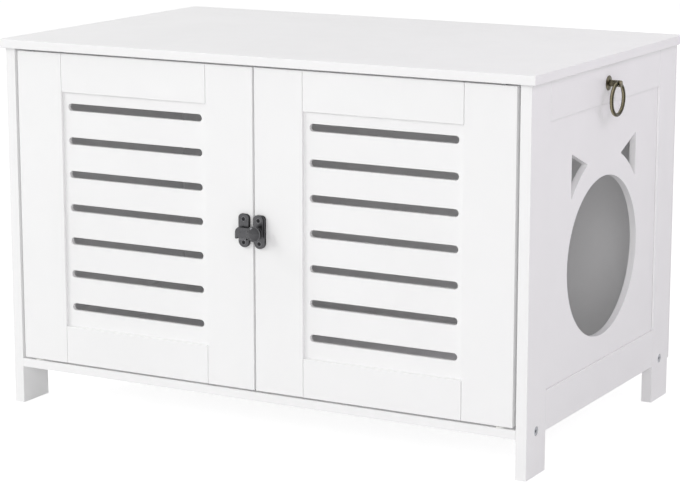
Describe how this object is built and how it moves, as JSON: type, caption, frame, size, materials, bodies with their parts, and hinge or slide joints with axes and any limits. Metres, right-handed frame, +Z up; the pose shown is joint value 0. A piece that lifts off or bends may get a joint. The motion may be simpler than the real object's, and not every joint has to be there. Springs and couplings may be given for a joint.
{
  "type": "cat litter box cabinet",
  "caption": "White cabinet on four legs that hides a cat litter box, with slotted double doors, a turning latch, a cat-head entrance in its right side and a ring pull.",
  "frame": {"origin": "on the floor, in the middle of the rectangle that the four legs stand on; the box with the knob and the ring pull is centred about 5 mm further to the right and to the front", "axes": "+X to the right, seen from the front; +Y to the back; +Z up"},
  "size_m": [0.8105, 0.5147, 0.51],
  "materials": {
    "white_lacquered_board": "smooth satin white lacquer on fibreboard",
    "white_faced_hardboard": "thin hardboard with a matt white face",
    "zinc_plated_steel": "bright zinc plating",
    "zinc_die_casting": "grey as-cast zinc",
    "beech_dowel": "plain fluted beech",
    "white_nylon": "moulded nylon",
    "dark_gunmetal_finish": "dark grey plated and lacquered zinc casting",
    "aged_brass": "aged brass, brown in the hollows",
    "white_plastic": "moulded plastic",
    "ferrite_magnet": "pressed ferrite with steel pole plates"
  },
  "bodies": {
    "cabinet": {"right_front_leg": "white_lacquered_board", "right_rear_leg": "white_lacquered_board", "right_side_bottom_rail": "white_lacquered_board", "right_side_top_rail": "white_lacquered_board", "right_side_panel": "white_lacquered_board", "left_front_leg": "white_lacquered_board", "left_rear_leg": "white_lacquered_board", "left_side_bottom_rail": "white_lacquered_board", "left_side_top_rail": "white_lacquered_board", "left_side_panel": "white_lacquered_board", "top_panel": "white_lacquered_board", "bottom_board": "white_lacquered_board", "back_panel": "white_faced_hardboard", "frame_bolts": "zinc_plated_steel", "barrel_nuts": "zinc_plated_steel", "cam_locks": "zinc_die_casting", "cam_bolts": "zinc_plated_steel", "top_dowels": "beech_dowel", "base_dowels": "beech_dowel", "back_panel_screws": "zinc_plated_steel", "pivot_bushings": "white_nylon", "ring_rosette": "aged_brass", "ring_post": "aged_brass", "ring_screw": "zinc_plated_steel", "catch_housing": "white_plastic", "catch_magnets": "ferrite_magnet", "catch_screws": "zinc_plated_steel"},
    "left_door": {"left_door_hinge_stile": "white_lacquered_board", "left_door_meeting_stile": "white_lacquered_board", "left_door_bottom_rail": "white_lacquered_board", "left_door_top_rail": "white_lacquered_board", "left_door_panel": "white_lacquered_board", "left_door_pins": "zinc_plated_steel", "left_strike_plate": "zinc_plated_steel", "left_strike_screw": "zinc_plated_steel", "latch_keeper": "dark_gunmetal_finish", "latch_keeper_screws": "dark_gunmetal_finish"},
    "right_door": {"right_door_hinge_stile": "white_lacquered_board", "right_door_meeting_stile": "white_lacquered_board", "right_door_bottom_rail": "white_lacquered_board", "right_door_top_rail": "white_lacquered_board", "right_door_panel": "white_lacquered_board", "right_door_pins": "zinc_plated_steel", "right_strike_plate": "zinc_plated_steel", "right_strike_screw": "zinc_plated_steel", "latch_base": "dark_gunmetal_finish", "latch_base_screws": "dark_gunmetal_finish"},
    "latch": {"latch_lever": "dark_gunmetal_finish", "latch_knob": "dark_gunmetal_finish"},
    "ring": {"pull_ring": "aged_brass"}
  },
  "joints": [
    {"name": "left_door_hinge", "type": "hinge", "parent": "cabinet", "child": "left_door", "pos_m": [-0.3525, -0.2325, 0.28075], "axis": [0, 0, -1], "range_deg": [0, 110]},
    {"name": "right_door_hinge", "type": "hinge", "parent": "cabinet", "child": "right_door", "pos_m": [0.3525, -0.2325, 0.28075], "axis": [0, 0, 1], "range_deg": [0, 110]},
    {"name": "latch_turn", "type": "hinge", "parent": "right_door", "child": "latch", "pos_m": [0.0101, -0.2463, 0.28075], "axis": [0, 1, 0], "range_deg": [0, 90]},
    {"name": "ring_swing", "type": "hinge", "parent": "cabinet", "child": "ring", "pos_m": [0.405, 0, 0.472], "axis": [0, -1, 0], "range_deg": [-15, 170]}
  ]
}
